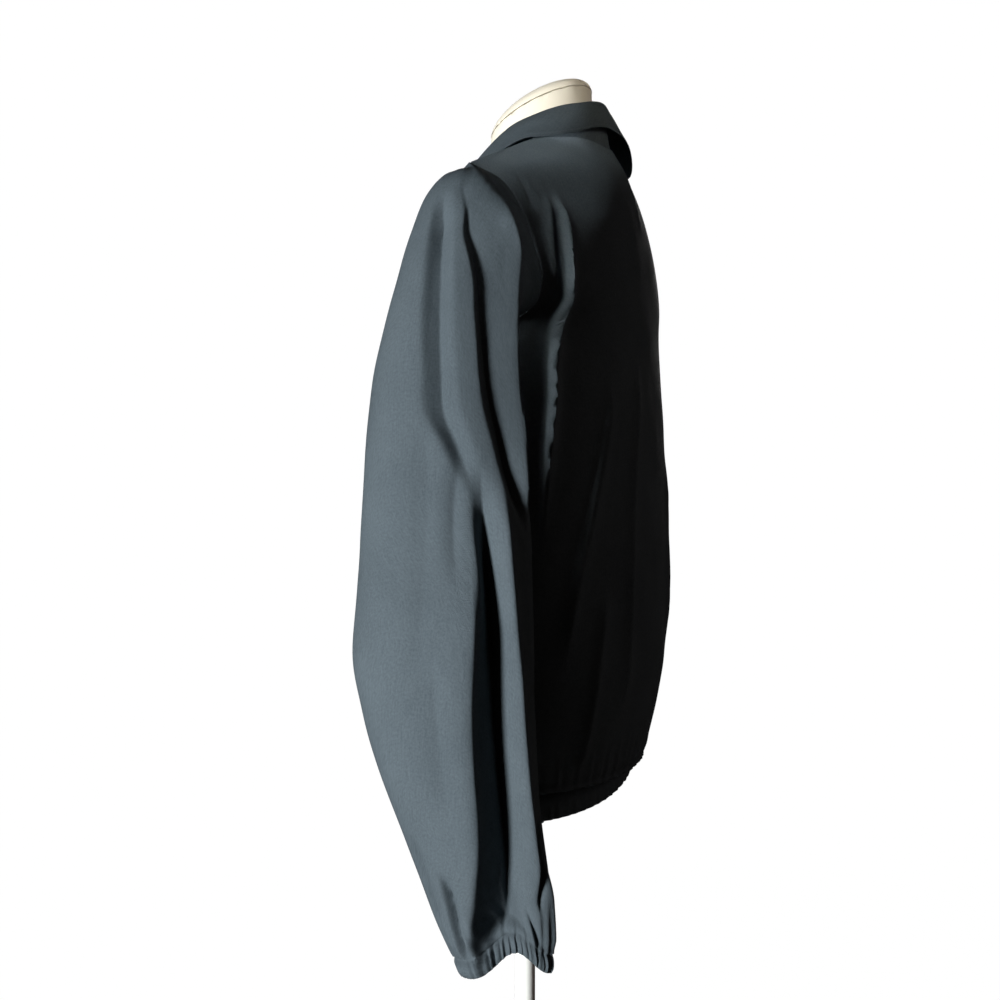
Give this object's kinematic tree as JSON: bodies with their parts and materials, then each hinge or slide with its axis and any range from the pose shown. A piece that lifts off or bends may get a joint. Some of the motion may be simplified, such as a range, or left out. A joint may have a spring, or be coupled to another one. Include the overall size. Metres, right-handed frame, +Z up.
{
  "type": "windbreaker on a dress form with a stand",
  "caption": "Dark nylon windbreaker with a turned-down collar, set-in sleeves, gathered cuffs and drawn-in hem, resting on a limbless dress form with a neck, a pole and a round base.",
  "frame": {"origin": "centre of the underside of the stand's round base, on the floor", "axes": "+Z up along the pole; -Y is the wearer's front; +X is the wearer's left"},
  "size_m": [0.5684, 0.36, 1.3984],
  "materials": {
    "nylon": "matt woven nylon with a faint sheen",
    "jersey": "matt cream jersey cover",
    "enamel": "satin off-white enamel",
    "snap": "dark satin lacquer"
  },
  "bodies": {
    "root": {"back": "nylon", "front_left": "nylon", "front_right": "nylon", "front_placket": "nylon", "sleeve_left": "nylon", "sleeve_right": "nylon", "cuff_left": "nylon", "cuff_right": "nylon", "hem_casing": "nylon", "collar_stand": "nylon", "collar_fall": "nylon", "snap_1": "snap", "snap_2": "snap", "snap_3": "snap", "snap_4": "snap", "snap_5": "snap", "form_torso": "jersey", "form_neck_cap": "jersey", "stand_pole": "enamel", "stand_base": "enamel"}
  },
  "joints": []
}
